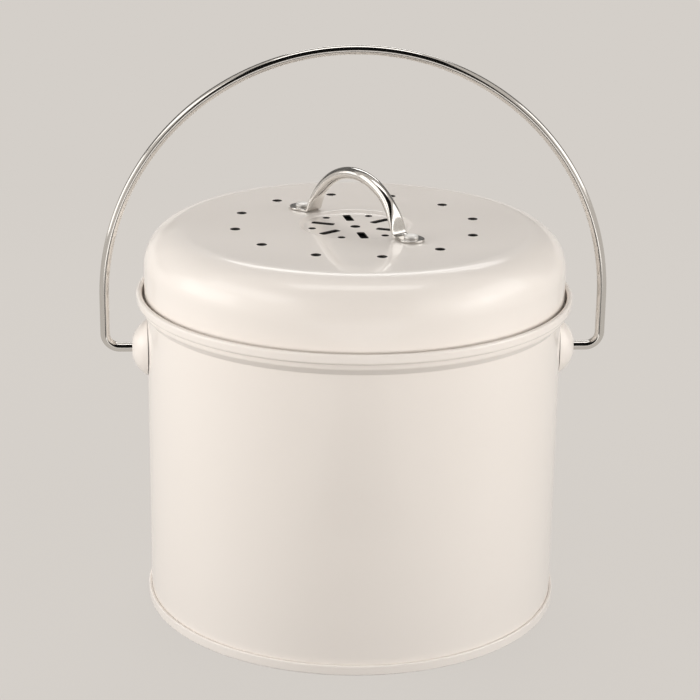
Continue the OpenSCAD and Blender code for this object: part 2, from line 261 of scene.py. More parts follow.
def hang_screen(name, away, half_turn, rise, grey):
    """A cloth on a curved frame, from one height over the horizon to another."""
    bm = bmesh.new()
    rows = []
    low, high = (math.radians(v) for v in rise)
    for i in range(SCREEN_STEPS + 1):
        e = low + (high - low) * i / SCREEN_STEPS
        row = []
        for j in range(SCREEN_STEPS + 1):
            a = math.radians(half_turn) * (2 * j / SCREEN_STEPS - 1)
            row.append(bm.verts.new(LAMP_AIM + away * Vector((
                math.sin(a), -math.cos(a) * math.cos(e), math.cos(a) * math.sin(e)
            ))))
        rows.append(row)
    for near, far in zip(rows, rows[1:]):
        for j in range(SCREEN_STEPS):
            bm.faces.new((near[j], near[j + 1], far[j + 1], far[j]))
    hide_stage(name, bm, grey, 0)


def lay_card(name, left, right, far, near, bright):
    bm = bmesh.new()
    bm.faces.new([bm.verts.new(p) for p in (
        (left, near, 0.001), (right, near, 0.001), (right, far, 0.001), (left, far, 0.001)
    )])
    hide_stage(name, bm, 0, bright)


for screen_name, screen_facts in SCREENS.items():
    hang_screen(screen_name, **screen_facts)
for card_name, card_facts in FLOOR_CARDS.items():
    lay_card(card_name, **card_facts)


# Bucket wall. One rolled sheet of 0.6 mm steel with a swaged band under its rim and its top
# edge rolled outward into a bead. Its foot is hooked into the seam of the base.
SHEET = 0.0006
WALL_R = 0.086
WALL_FOOT = 0.00065
HOOK_GAP = 0.00005
HOOK_TOP = 0.00355
STEP_Z = 0.1259
BAND_Z = 0.1288
BAND_OUT = 0.0026
BEAD_BEND = 0.00085
BEAD_DROP = 0.0039
BEAD_SLIT = 0.0004
SWAGE_BEND = 0.0012
TURN_STEPS = 288
LONGEST_STEP = 0.0008
SAME_POINT = 0.000005
FULL_BEND = 0.999
rim_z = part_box("bucket_wall")[1].z


def rounded(corners, step=10):
    """A path through corners (x, z, bend radius), with an arc in place of each corner between the ends."""
    path = [Vector(corners[0][:2])]
    for before, corner, after in zip(corners, corners[1:], corners[2:]):
        here = Vector(corner[:2])
        back = (Vector(before[:2]) - here).normalized()
        ahead = (Vector(after[:2]) - here).normalized()
        half = back.angle(ahead) / 2
        centre = here + (back + ahead).normalized() * (corner[2] / math.sin(half))
        start = here + back * (corner[2] / math.tan(half)) - centre
        end = here + ahead * (corner[2] / math.tan(half)) - centre
        a = math.atan2(start.y, start.x)
        turn = (math.atan2(end.y, end.x) - a + math.pi) % (2 * math.pi) - math.pi
        count = math.ceil(max(2, abs(math.degrees(turn)) / step, abs(turn) * corner[2] / LONGEST_STEP))
        for i in range(count + 1):
            b = a + turn * i / count
            point = centre + corner[2] * Vector((math.cos(b), math.sin(b)))
            if (point - path[-1]).length > SAME_POINT:
                path.append(point)
    path.append(Vector(corners[-1][:2]))
    return path


def sheet_outline(path, thickness, cap_steps=6):
    """The closed outline of a sheet whose middle follows path, with rounded edges off the axis."""
    left, right = [], []
    for i, here in enumerate(path):
        ahead = (path[i + 1] - here).normalized() if i + 1 < len(path) else Vector((0, 0))
        back = (here - path[i - 1]).normalized() if i else Vector((0, 0))
        along = (ahead + back).normalized()
        across = Vector((-along.y, along.x)) * thickness / 2
        left.append(here + across)
        right.append(here - across)

    def cap(centre, start):
        if centre.x < 1e-6:
            return []
        turned = [Matrix.Rotation(-math.pi * i / cap_steps, 2) @ start for i in range(1, cap_steps)]
        return [centre + t for t in turned]

    end, begin = path[-1], path[0]
    return left + cap(end, left[-1] - end) + right[::-1] + cap(begin, right[0] - begin)


def clean(bm, sharp_deg=32):
    """Points faces outward, shades them smooth and keeps the edges that turn sharply."""
    bmesh.ops.remove_doubles(bm, verts=bm.verts, dist=1e-7)
    bmesh.ops.recalc_face_normals(bm, faces=bm.faces)
    for face in bm.faces:
        face.smooth = True
    for edge in bm.edges:
        edge.smooth = len(edge.link_faces) == 2 and edge.calc_face_angle(0) < math.radians(sharp_deg)


def lathe(outline, steps=TURN_STEPS, axis="Z"):
    """A mesh turned from a closed outline of (radius, height) points."""
    bm = bmesh.new()
    rings = []
    for r, z in outline:
        count = steps if r > 1e-6 else 1
        turns = [2 * math.pi * i / steps for i in range(count)]
        rings.append([bm.verts.new((r * math.cos(a), r * math.sin(a), z)) for a in turns])
    for low, high in zip(rings, rings[1:] + rings[:1]):
        if len(low) == len(high) == 1:
            continue
        for i in range(steps):
            j = (i + 1) % steps
            corners = [low[i % len(low)], low[j % len(low)], high[j % len(high)], high[i % len(high)]]
            bm.faces.new(list(dict.fromkeys(corners)))
    if axis == "X":
        bmesh.ops.rotate(bm, verts=bm.verts, matrix=Matrix.Rotation(math.pi / 2, 3, "Y"))
    clean(bm)
    mesh = bpy.data.meshes.new("turned")
    bm.to_mesh(mesh)
    bm.free()
    return mesh


def flatten_shade(mesh):
    """Gives each flat face its own true normal, so that only the bends beside it are shaded round."""
    worked = bpy.data.objects.new("worked", mesh)
    bpy.context.scene.collection.objects.link(worked)
    worked.modifiers.new("flats", "WEIGHTED_NORMAL").keep_sharp = True
    made = bpy.data.meshes.new_from_object(worked.evaluated_get(bpy.context.evaluated_depsgraph_get()))
    bpy.data.objects.remove(worked)
    return made


def place(name, mesh, finish, body, slot, *nodes):
    """Puts a finished mesh into the scene as a piece that stands for these CAD nodes."""
    mesh = flatten_shade(mesh)
    mesh.name = name
    numbers = [face.material_index for face in mesh.polygons]
    used = sorted(set(numbers))
    finishes = [mesh.materials[i] for i in used] if len(mesh.materials) else [finish]
    mesh.materials.clear()
    for kept in finishes:
        mesh.materials.append(kept)
    mesh.polygons.foreach_set("material_index", [used.index(i) for i in numbers])
    piece = bpy.data.objects.new(name, mesh)
    bpy.context.scene.collection.objects.link(piece)
    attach(piece, body)
    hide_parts(*nodes)
    return piece


def cream_coat():
    """Semi-gloss powder coat: an even cream with a very fine orange peel."""
    made = bpy.data.materials.new("cream_powder_coat")
    made.use_nodes = True
    tree = made.node_tree
    paint = tree.nodes["Principled BSDF"]
    place_on = add_node(tree, "ShaderNodeTexCoord").outputs["Object"]
    cloud = add_node(tree, "ShaderNodeTexNoise", Scale=9.0, Detail=3.0)
    tint = add_node(tree, "ShaderNodeValToRGB")
    tint.color_ramp.elements[0].position = 0.3
    tint.color_ramp.elements[0].color = (0.822, 0.762, 0.704, 1)
    tint.color_ramp.elements[1].position = 0.7
    tint.color_ramp.elements[1].color = (0.842, 0.783, 0.726, 1)
    haze = add_node(tree, "ShaderNodeTexNoise", Scale=55.0, Detail=4.0)
    rough = add_node(tree, "ShaderNodeMapRange")
    rough.inputs["To Min"].default_value = 0.3
    rough.inputs["To Max"].default_value = 0.38
    peel = add_node(tree, "ShaderNodeTexNoise", Scale=650.0, Detail=2.0)
    bump = add_node(tree, "ShaderNodeBump", Strength=0.05, Distance=0.0002)
    for texture in (cloud, haze, peel):
        tree.links.new(place_on, texture.inputs["Vector"])
    tree.links.new(cloud.outputs["Fac"], tint.inputs["Fac"])
    tree.links.new(tint.outputs["Color"], paint.inputs["Base Color"])
    tree.links.new(haze.outputs["Fac"], rough.inputs["Value"])
    tree.links.new(rough.outputs["Result"], paint.inputs["Roughness"])
    tree.links.new(peel.outputs["Fac"], bump.inputs["Height"])
    tree.links.new(bump.outputs["Normal"], paint.inputs["Normal"])
    paint.inputs["Coat Weight"].default_value = 0.7
    paint.inputs["Coat Roughness"].default_value = 0.045
    return made


cream = cream_coat()
wall_mid = WALL_R - SHEET / 2
hook_mid = WALL_R + HOOK_GAP + SHEET / 2
band_mid = wall_mid + BAND_OUT
bead_mid = band_mid + 2 * BEAD_BEND
fold = (hook_mid - wall_mid) / 2
rim_mid = rim_z - SHEET / 2
wall_path = rounded([
    (hook_mid, HOOK_TOP),
    (hook_mid, WALL_FOOT + SHEET / 2, fold * FULL_BEND),
    (wall_mid, WALL_FOOT + SHEET / 2, fold * FULL_BEND),
    (wall_mid, STEP_Z, SWAGE_BEND),
    (band_mid, BAND_Z, SWAGE_BEND),
    (band_mid, rim_mid, BEAD_BEND * FULL_BEND),
    (bead_mid, rim_mid, BEAD_BEND * FULL_BEND),
    (bead_mid, rim_mid - BEAD_DROP + SHEET / 2, BEAD_BEND),
    (band_mid + SHEET + BEAD_SLIT, rim_mid - BEAD_DROP + SHEET / 2)
])
bucket_wall = place(
    "bucket_wall_painted", lathe(sheet_outline(wall_path, SHEET)), cream,
    "bucket", "cream_coat", "bucket_wall"
)


# Bucket base. A disc of the same sheet, recessed inside the foot. Its edge is folded down, out
# and up around the hook of the wall, which makes the seam ring that the caddy stands on.
SEAM_TOP = 0.0042
SEAM_BEND = 0.00031
seam_in = WALL_R - SHEET - HOOK_GAP - SHEET / 2
seam_out = WALL_R + 2 * HOOK_GAP + SHEET * 1.5
seam_mid_z = SEAM_TOP - SHEET / 2
base_path = rounded([
    (0, seam_mid_z),
    (seam_in, seam_mid_z, SEAM_BEND),
    (seam_in, SHEET / 2, SEAM_BEND),
    (seam_out, SHEET / 2, SEAM_BEND),
    (seam_out, seam_mid_z, SEAM_BEND),
    (WALL_R + HOOK_GAP + SHEET / 2, seam_mid_z)
])
bucket_base = place(
    "bucket_base_painted", lathe(sheet_outline(base_path, SHEET)), cream,
    "bucket", "cream_coat", "bucket_base"
)


# Ears. Two caps pressed from 1 mm steel, with a flat face and a bore for the bail, are welded
# to the wall at the top and bottom of their rims and painted with the bucket.
EAR_R = 0.012
EAR_FACE_R = 0.0045
EAR_DEEP = 0.0063
EAR_SHEET = 0.001
EAR_BORE_R = 0.00205
EAR_EDGE = 0.0011
EAR_LIP = 0.00035
EAR_HUG = 0.003
EAR_HUG_SHARE = 0.62
ear_back = WALL_R + 0.00002
pivot_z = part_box("ear_right")[0].z + EAR_R
ball_drop = (EAR_R ** 2 - EAR_FACE_R ** 2 - EAR_DEEP ** 2) / (2 * EAR_DEEP)
ball_r = math.hypot(EAR_R, ball_drop)


def dome_points(radius, top, count=14):
    """Points on the ear's ball from its foot up to the height top, as corners of a path."""
    low, high = math.asin(ball_drop / radius), math.asin((top + ball_drop) / radius)
    turns = [low + (high - low) * i / count for i in range(count + 1)]
    return [(radius * math.cos(a), radius * math.sin(a) - ball_drop) for a in turns]


def ear_outline():
    outer = dome_points(ball_r, EAR_DEEP)
    inner = dome_points(ball_r - EAR_SHEET, EAR_DEEP - EAR_SHEET)
    face = rounded([
        outer[-4], (outer[-1][0], EAR_DEEP, EAR_EDGE), (EAR_BORE_R, EAR_DEEP, EAR_LIP),
        (EAR_BORE_R, EAR_DEEP - EAR_SHEET, EAR_LIP), (inner[-1][0], EAR_DEEP - EAR_SHEET)
    ])
    return [Vector(p) for p in outer[:-4]] + face + [Vector(p) for p in inner[-2::-1]]


for side, name in ((-1, "ear_left"), (1, "ear_right")):
    cap = lathe([(p[0], p[1]) for p in ear_outline()], steps=96, axis="X")
    if side < 0:
        cap.transform(Matrix.Rotation(math.pi, 4, "Z"))
    cap.transform(Matrix.Translation((side * ear_back, 0, pivot_z)))
    for vert in cap.vertices:
        near = 1 - min(1, (abs(vert.co.x) - ear_back) / EAR_HUG)
        fall = WALL_R - math.sqrt(WALL_R ** 2 - vert.co.y ** 2)
        vert.co.x -= side * near * fall * EAR_HUG_SHARE
    place(name + "_painted", cap, cream, "bucket", "cream_coat", name)


# Bail. One bright drawn stainless wire of 4 mm: a half circle over the lid, two straight legs
# and two short pivots, whose ends are upset into heads inside the ears.
WIRE_R = 0.002
LEG_X = 0.1037
LEG_TOP = 0.0214
BAIL_BEND = 0.006
HEAD_R = 0.0034
HEAD_THICK = 0.0018
HEAD_ROUND = 0.0005
WIRE_SIDES = 32
head_x = ear_back + EAR_DEEP - EAR_SHEET - 0.0003 - HEAD_THICK


def loft(name, rings, along):
    """A closed tube through rings of points, with a point at each end, and its drawing direction."""
    bm = bmesh.new()
    drawn = bm.verts.layers.float_vector.new("drawn")
    loops = []
    for ring, length in zip(rings, along):
        middle = sum(ring, Vector()) / len(ring)
        loop = []
        for point in ring:
            vert = bm.verts.new(point)
            a = 2 * math.pi * len(loop) / len(ring)
            reach = (point - middle).length
            vert[drawn] = (reach * math.cos(a), reach * math.sin(a), length)
            loop.append(vert)
        loops.append(loop)
    for low, high in zip(loops, loops[1:]):
        for j in range(len(low)):
            k = (j + 1) % len(low)
            bm.faces.new((low[j], low[k], high[k], high[j]))
    for loop, length in ((loops[0], along[0]), (loops[-1], along[-1])):
        pole = bm.verts.new(sum((v.co for v in loop), Vector()) / len(loop))
        pole[drawn] = (0, 0, length)
        for j in range(len(loop)):
            bm.faces.new((loop[j], loop[(j + 1) % len(loop)], pole))
    clean(bm)
    mesh = bpy.data.meshes.new(name)
    bm.to_mesh(mesh)
    bm.free()
    return mesh


def bail_line():
    """Stops along the right half of the bail, from its head to its crown: x, z, direction, radius."""
    stops = [
        (head_x + HEAD_ROUND * (1 - math.cos(math.radians(15 * i))), pivot_z, 0,
         HEAD_R - HEAD_ROUND * (1 - math.sin(math.radians(15 * i)))) for i in range(7)
    ]
    neck = head_x + HEAD_THICK
    stops += [
        (neck - HEAD_ROUND * (1 - math.sin(math.radians(15 * i))), pivot_z, 0,
         HEAD_R - HEAD_ROUND * (1 - math.cos(math.radians(15 * i)))) for i in range(7)
    ]
    stops += [(neck, pivot_z, 0, WIRE_R)]
    bend_x = LEG_X - BAIL_BEND
    stops += [(neck + (bend_x - neck) * i / 4, pivot_z, 0, WIRE_R) for i in range(1, 5)]
    for i in range(1, 13):
        a = math.radians(90 * i / 12)
        stops.append((bend_x + BAIL_BEND * math.sin(a), pivot_z + BAIL_BEND * (1 - math.cos(a)), a, WIRE_R))
    leg_rise = LEG_TOP - BAIL_BEND
    stops += [
        (LEG_X, pivot_z + BAIL_BEND + leg_rise * i / 4, math.pi / 2, WIRE_R) for i in range(1, 5)
    ]
    for i in range(1, 61):
        a = math.radians(90 * i / 60)
        stops.append((LEG_X * math.cos(a), pivot_z + LEG_TOP + LEG_X * math.sin(a), math.pi / 2 + a, WIRE_R))
    return stops


def bail_mesh():
    half = bail_line()
    whole = half + [(-x, z, math.pi * 2 - turn, r) for x, z, turn, r in half[-2::-1]]
    rings, along, length = [], [], 0.0
    for i, (x, z, turn, r) in enumerate(whole):
        if i:
            length += math.hypot(x - whole[i - 1][0], z - whole[i - 1][1])
        out = Vector((math.sin(turn), 0, -math.cos(turn)))
        ring = []
        for j in range(WIRE_SIDES):
            a = 2 * math.pi * j / WIRE_SIDES
            ring.append(Vector((x, 0, z)) + r * (out * math.cos(a) + Vector((0, math.sin(a), 0))))
        rings.append(ring)
        along.append(length)
    return loft("bail", rings, along)


def stainless(name, tint, rough_low, rough_high, metal=1.0):
    """Bright steel with faint lines along the direction that it was drawn or polished in."""
    made = bpy.data.materials.new(name)
    made.use_nodes = True
    tree = made.node_tree
    steel = tree.nodes["Principled BSDF"]
    drawn = add_node(tree, "ShaderNodeAttribute", attribute_name="drawn").outputs["Vector"]
    stretch = add_node(tree, "ShaderNodeMapping")
    stretch.inputs["Scale"].default_value = (1, 1, 0.03)
    lines = add_node(tree, "ShaderNodeTexNoise", Scale=5200.0, Detail=4.0)
    cloud = add_node(tree, "ShaderNodeTexNoise", Scale=130.0, Detail=3.0)
    both = add_node(tree, "ShaderNodeMath", operation="ADD")
    rough = add_node(tree, "ShaderNodeMapRange")
    rough.inputs["From Min"].default_value = 0.6
    rough.inputs["From Max"].default_value = 1.4
    rough.inputs["To Min"].default_value = rough_low
    rough.inputs["To Max"].default_value = rough_high
    shade = add_node(tree, "ShaderNodeMapRange")
    shade.inputs["From Min"].default_value = 0.3
    shade.inputs["From Max"].default_value = 0.7
    shade.inputs["To Min"].default_value = 0.94
    shade.inputs["To Max"].default_value = 1.03
    colour = add_node(tree, "ShaderNodeVectorMath", operation="SCALE")
    colour.inputs[0].default_value = tint
    bump = add_node(tree, "ShaderNodeBump", Strength=0.018, Distance=0.00005)
    tree.links.new(drawn, stretch.inputs["Vector"])
    tree.links.new(stretch.outputs["Vector"], lines.inputs["Vector"])
    tree.links.new(drawn, cloud.inputs["Vector"])
    tree.links.new(lines.outputs["Fac"], both.inputs[0])
    tree.links.new(cloud.outputs["Fac"], both.inputs[1])
    tree.links.new(both.outputs[0], rough.inputs["Value"])
    tree.links.new(rough.outputs["Result"], steel.inputs["Roughness"])
    tree.links.new(lines.outputs["Fac"], shade.inputs["Value"])
    tree.links.new(shade.outputs["Result"], colour.inputs["Scale"])
    tree.links.new(colour.outputs["Vector"], steel.inputs["Base Color"])
    tree.links.new(lines.outputs["Fac"], bump.inputs["Height"])
    tree.links.new(bump.outputs["Normal"], steel.inputs["Normal"])
    steel.inputs["Metallic"].default_value = metal
    return made


bail = place(
    "bail_drawn", bail_mesh(), stainless("drawn_stainless_wire", (0.69, 0.67, 0.64), 0.07, 0.13),
    "bail", "stainless_wire", "bail_wire"
)


# Lid shell. Pressed from 0.6 mm sheet: a flat top with a shallow dish, a round shoulder and a
# skirt whose edge is folded inward into a hem. Its vents are punched through the finished coat.
LID_SHEET = 0.0006
LID_R = 0.087
SHOULDER_R = 0.0164
HEM_FOLD = 0.00035
HEM_TOP = 0.0033
DISH_R = 0.0235
DISH_DEEP = 0.0011
DISH_SIDE = 0.002
DISH_BEND = 0.0018
LID_TURN = math.radians(-51)
PUNCH_EDGE = 0.0001
PUNCH_DOWN = 0.0016
PUNCH_UP = 0.00016
SLOT_CORNER = 0.0009


def hole_ring(radius, count, half_length, half_width, corner, turn=0.0, drop=0.0):
    """The inputs of the punch nodes for one ring of holes."""
    return dict(
        Radius=radius, Count=count, Half_Length=half_length, Half_Width=half_width,
        Corners=corner, Turn=LID_TURN + turn, Drop=drop
    )


def round_holes(radius, count, hole_r, drop=0.0):
    return hole_ring(radius, count, hole_r, hole_r, hole_r * FULL_BEND, drop=drop)


RIVET_RING = round_holes(0.0333, 2, 0.00165)
HOLE_RINGS = (
    round_holes(0.05, 12, 0.002),
    round_holes(0.0181, 6, 0.0015, drop=DISH_DEEP),
    hole_ring(0.014, 6, 0.0048, 0.0016, SLOT_CORNER, turn=math.radians(30), drop=DISH_DEEP),
    round_holes(0.0, 1, 0.002, drop=DISH_DEEP),
    RIVET_RING
)
lid_low, lid_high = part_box("lid_shell")
lid_mid_top = lid_high.z - LID_SHEET / 2
skirt_mid = LID_R - LID_SHEET / 2
dish_mid = lid_mid_top - DISH_DEEP
lid_path = rounded([
    (0, dish_mid),
    (DISH_R - DISH_SIDE, dish_mid, DISH_BEND),
    (DISH_R, lid_mid_top, DISH_BEND),
    (skirt_mid, lid_mid_top, SHOULDER_R - LID_SHEET / 2),
    (skirt_mid, lid_low.z + LID_SHEET / 2, HEM_FOLD * FULL_BEND),
    (skirt_mid - 2 * HEM_FOLD, lid_low.z + LID_SHEET / 2, HEM_FOLD * FULL_BEND),
    (skirt_mid - 2 * HEM_FOLD, lid_low.z + HEM_TOP)
])


def wire_up(tree, *pairs):
    for start, end in pairs:
        tree.links.new(start, end)


def ring_of_spots(tree, given, turn, height):
    """Nodes for spots in a ring around the axis, and the turn that faces each away from it."""
    line = add_node(tree, "GeometryNodePoints")
    number = add_node(tree, "GeometryNodeInputIndex")
    full = add_node(tree, "ShaderNodeMath", operation="DIVIDE")
    full.inputs[0].default_value = 2 * math.pi
    step = add_node(tree, "ShaderNodeMath", operation="MULTIPLY")
    turned = add_node(tree, "ShaderNodeMath", operation="ADD")
    angle = add_node(tree, "ShaderNodeCombineXYZ")
    reach = add_node(tree, "ShaderNodeCombineXYZ")
    swing = add_node(tree, "ShaderNodeVectorRotate", rotation_type="EULER_XYZ")
    set_out = add_node(tree, "GeometryNodeSetPosition")
    wire_up(
        tree,
        (given["Count"], line.inputs["Count"]), (given["Count"], full.inputs[1]),
        (number.outputs[0], step.inputs[0]), (full.outputs[0], step.inputs[1]),
        (step.outputs[0], turned.inputs[0]), (turn, turned.inputs[1]),
        (turned.outputs[0], angle.inputs["Z"]), (given["Radius"], reach.inputs["X"]),
        (height, reach.inputs["Z"]), (reach.outputs[0], swing.inputs["Vector"]),
        (angle.outputs[0], swing.inputs["Rotation"]), (line.outputs[0], set_out.inputs["Geometry"]),
        (swing.outputs[0], set_out.inputs["Position"])
    )
    return set_out.outputs[0], angle.outputs[0]


def punch_tree():
    """Nodes that punch a ring of holes, round or long, with edges rounded over at the top."""
    tree = bpy.data.node_groups.new("punch_ring", "GeometryNodeTree")
    face = tree.interface
    face.new_socket("Sheet", in_out="INPUT", socket_type="NodeSocketGeometry")
    for name in ("Radius", "Turn", "Half Length", "Half Width", "Edge", "Top", "Drop"):
        face.new_socket(name, in_out="INPUT", socket_type="NodeSocketFloat")
    face.new_socket("Count", in_out="INPUT", socket_type="NodeSocketInt")
    face.new_socket("Corners", in_out="INPUT", socket_type="NodeSocketFloat")
    face.new_socket("Finish", in_out="INPUT", socket_type="NodeSocketMaterial")
    face.new_socket("Edge Finish", in_out="INPUT", socket_type="NodeSocketMaterial")
    face.new_socket("Punched", in_out="OUTPUT", socket_type="NodeSocketGeometry")
    given = add_node(tree, "NodeGroupInput").outputs
    # The punch is the hole's outline, filled, drawn down through the sheet and flared at the top
    plan = add_node(tree, "GeometryNodeCurvePrimitiveQuadrilateral")
    double_x = add_node(tree, "ShaderNodeMath", operation="MULTIPLY")
    double_y = add_node(tree, "ShaderNodeMath", operation="MULTIPLY")
    double_x.inputs[1].default_value = 2
    double_y.inputs[1].default_value = 2
    round_off = add_node(tree, "GeometryNodeFilletCurve", mode="POLY")
    round_off.inputs["Count"].default_value = 9
    way = add_node(tree, "GeometryNodeCurvePrimitiveLine")
    way.inputs["Start"].default_value = (0, 0, -PUNCH_DOWN)
    way.inputs["End"].default_value = (0, 0, PUNCH_UP)
    steps = add_node(tree, "GeometryNodeResampleCurve")
    steps.inputs["Count"].default_value = 34
    punch = add_node(tree, "GeometryNodeCurveToMesh")
    punch.inputs["Fill Caps"].default_value = True
    spot = add_node(tree, "GeometryNodeInputPosition")
    parts = add_node(tree, "ShaderNodeSeparateXYZ")
    share = add_node(tree, "ShaderNodeMath", operation="DIVIDE")
    near = add_node(tree, "ShaderNodeMath", operation="ADD")
    near.inputs[1].default_value = 1
    above = add_node(tree, "ShaderNodeMath", operation="MAXIMUM")
    square = add_node(tree, "ShaderNodeMath", operation="POWER")
    square.inputs[1].default_value = 2
    flare = add_node(tree, "ShaderNodeMath", operation="MULTIPLY")
    across = add_node(tree, "ShaderNodeMath", operation="DIVIDE")
    along = add_node(tree, "ShaderNodeMath", operation="DIVIDE")
    outward = add_node(tree, "ShaderNodeCombineXYZ")
    push = add_node(tree, "ShaderNodeVectorMath", operation="SCALE")
    flared = add_node(tree, "GeometryNodeSetPosition")
    # The punches stand in a ring, each turned away from the middle
    lower = add_node(tree, "ShaderNodeMath", operation="SUBTRACT")
    spots, facing = ring_of_spots(tree, given, given["Turn"], lower.outputs[0])
    spread = add_node(tree, "GeometryNodeInstanceOnPoints")
    real = add_node(tree, "GeometryNodeRealizeInstances")
    cut = add_node(tree, "GeometryNodeMeshBoolean", operation="DIFFERENCE", solver="MANIFOLD")
    mark = add_node(tree, "GeometryNodeStoreNamedAttribute", data_type="BOOLEAN", domain="FACE")
    mark.inputs["Name"].default_value = "cut_edge"
    mark.inputs["Value"].default_value = True
    marked = add_node(tree, "GeometryNodeInputNamedAttribute", data_type="BOOLEAN")
    marked.inputs["Name"].default_value = "cut_edge"
    coat = add_node(tree, "GeometryNodeSetMaterial")
    bare = add_node(tree, "GeometryNodeSetMaterial")
    out = add_node(tree, "NodeGroupOutput")
    wire_up(
        tree,
        (given["Half Length"], double_x.inputs[0]), (given["Half Width"], double_y.inputs[0]),
        (double_x.outputs[0], plan.inputs["Width"]), (double_y.outputs[0], plan.inputs["Height"]),
        (plan.outputs["Curve"], round_off.inputs["Curve"]), (given["Corners"], round_off.inputs["Radius"]),
        (way.outputs["Curve"], steps.inputs["Curve"]), (steps.outputs["Curve"], punch.inputs["Curve"]),
        (round_off.outputs["Curve"], punch.inputs["Profile Curve"]),
        (spot.outputs[0], parts.inputs[0]), (parts.outputs["Z"], share.inputs[0]),
        (given["Edge"], share.inputs[1]), (share.outputs[0], near.inputs[0]),
        (near.outputs[0], above.inputs[0]), (above.outputs[0], square.inputs[0]),
        (square.outputs[0], flare.inputs[0]), (given["Edge"], flare.inputs[1]),
        (parts.outputs["X"], along.inputs[0]), (given["Half Length"], along.inputs[1]),
        (parts.outputs["Y"], across.inputs[0]), (given["Half Width"], across.inputs[1]),
        (along.outputs[0], outward.inputs["X"]), (across.outputs[0], outward.inputs["Y"]),
        (outward.outputs[0], push.inputs[0]), (flare.outputs[0], push.inputs["Scale"]),
        (punch.outputs["Mesh"], flared.inputs["Geometry"]), (push.outputs[0], flared.inputs["Offset"]),
        (given["Top"], lower.inputs[0]), (given["Drop"], lower.inputs[1]),
        (flared.outputs[0], mark.inputs["Geometry"]), (mark.outputs[0], spread.inputs["Instance"]),
        (spots, spread.inputs["Points"]), (facing, spread.inputs["Rotation"]),
        (spread.outputs[0], real.inputs[0]), (given["Sheet"], cut.inputs["Mesh 1"]),
        (real.outputs[0], cut.inputs["Mesh 2"]), (cut.outputs["Mesh"], coat.inputs["Geometry"]),
        (given["Finish"], coat.inputs["Material"]), (coat.outputs[0], bare.inputs["Geometry"]),
        (marked.outputs["Attribute"], bare.inputs["Selection"]),
        (given["Edge Finish"], bare.inputs["Material"]), (bare.outputs[0], out.inputs["Punched"])
    )
    return tree


def run_nodes(mesh, tree, **values):
    """Runs a node tree on a mesh and returns the result as a plain mesh."""
    worked = bpy.data.objects.new("worked", mesh)
    bpy.context.scene.collection.objects.link(worked)
    modifier = worked.modifiers.new("nodes", "NODES")
    modifier.node_group = tree
    for item in tree.interface.items_tree:
        key = item.name.replace(" ", "_")
        if item.in_out == "INPUT" and key in values:
            modifier[item.identifier] = values[key]
    ready = worked.evaluated_get(bpy.context.evaluated_depsgraph_get())
    made = bpy.data.meshes.new_from_object(ready)
    worked.modifiers.remove(modifier)
    bpy.data.objects.remove(worked)
    return made


def sharpen(mesh, *levels):
    """Makes the flats at these heights exactly flat, with one face for each flat as far as can be."""
    bm = bmesh.new()
    bm.from_mesh(mesh)
    for vert in bm.verts:
        for level in levels:
            if abs(vert.co.z - level) < FLAT_SLACK:
                vert.co.z = level
    bmesh.ops.dissolve_limit(
        bm, angle_limit=math.radians(FLAT_DEG), verts=bm.verts, edges=bm.edges, delimit={"MATERIAL"}
    )
    clean(bm)
    bm.to_mesh(mesh)
    bm.free()
    return mesh


def shaded_cut_edge():
    """The cut edge of the sheet inside a hole: bare steel with streaks from the punch, painted near black as
    the shade inside the hole.
    """
    made = bpy.data.materials.new("punched_edge")
    made.use_nodes = True
    tree = made.node_tree
    steel = tree.nodes["Principled BSDF"]
    place_on = add_node(tree, "ShaderNodeTexCoord").outputs["Object"]
    stretch = add_node(tree, "ShaderNodeMapping")
    stretch.inputs["Scale"].default_value = (1, 1, 0.1)
    streaks = add_node(tree, "ShaderNodeTexNoise", Scale=6000.0, Detail=3.0)
    tint = add_node(tree, "ShaderNodeValToRGB")
    # Painted shade: the cut edge is coloured near black, for the shade inside the holes.
    tint.color_ramp.elements[0].color = (0.03, 0.028, 0.026, 1)
    tint.color_ramp.elements[1].color = (0.12, 0.11, 0.1, 1)
    wire_up(
        tree,
        (place_on, stretch.inputs["Vector"]), (stretch.outputs["Vector"], streaks.inputs["Vector"]),
        (streaks.outputs["Fac"], tint.inputs["Fac"]), (tint.outputs["Color"], steel.inputs["Base Color"])
    )
    steel.inputs["Metallic"].default_value = 0.3
    steel.inputs["Roughness"].default_value = 0.6
    return made


FLAT_SLACK = 0.000003
FLAT_DEG = 0.2
punch_ring = punch_tree()
shaded_cut_steel = shaded_cut_edge()
lid_mesh = lathe(sheet_outline(lid_path, LID_SHEET))
for ring in HOLE_RINGS:
    lid_mesh = run_nodes(
        lid_mesh, punch_ring, Edge=PUNCH_EDGE, Top=lid_high.z, Finish=cream, Edge_Finish=shaded_cut_steel, **ring
    )
flats = [lid_high.z - drop - under for drop in (0, DISH_DEEP) for under in (0, LID_SHEET)]
lid_shell = place(
    "lid_shell_painted", sharpen(lid_mesh, *flats), cream, "lid", "cream_coat", "lid_shell"
)


# Lid handle. One 5 mm stainless bar bent into an arch. Its two ends are pressed flat into
# tabs, which lie on the lid with a rivet through each.
ARCH_R = 0.027
ARCH_DROP = 0.0059
BAR_R = 0.0025
TAB_HALF = 0.00055
TAB_HALF_WIDE = 0.0053
NECK_HALF_WIDE = 0.0038
TAB_END = 0.0056
RIVET_R = 0.0333
FOLD_MID = 0.00195
FLARE_TURN = math.radians(34)
FLAT_POWER = 0.25
BAR_SIDES = 48
fold_rise = TAB_HALF + FOLD_MID + ARCH_DROP
fold_x = math.sqrt((ARCH_R + FOLD_MID) ** 2 - fold_rise ** 2)
fold_turn = math.acos(fold_rise / (ARCH_R + FOLD_MID))
flare_start = math.pi / 2 - fold_turn


def ease(t):
    t = min(max(t, 0), 1)
    return t * t * (3 - 2 * t)


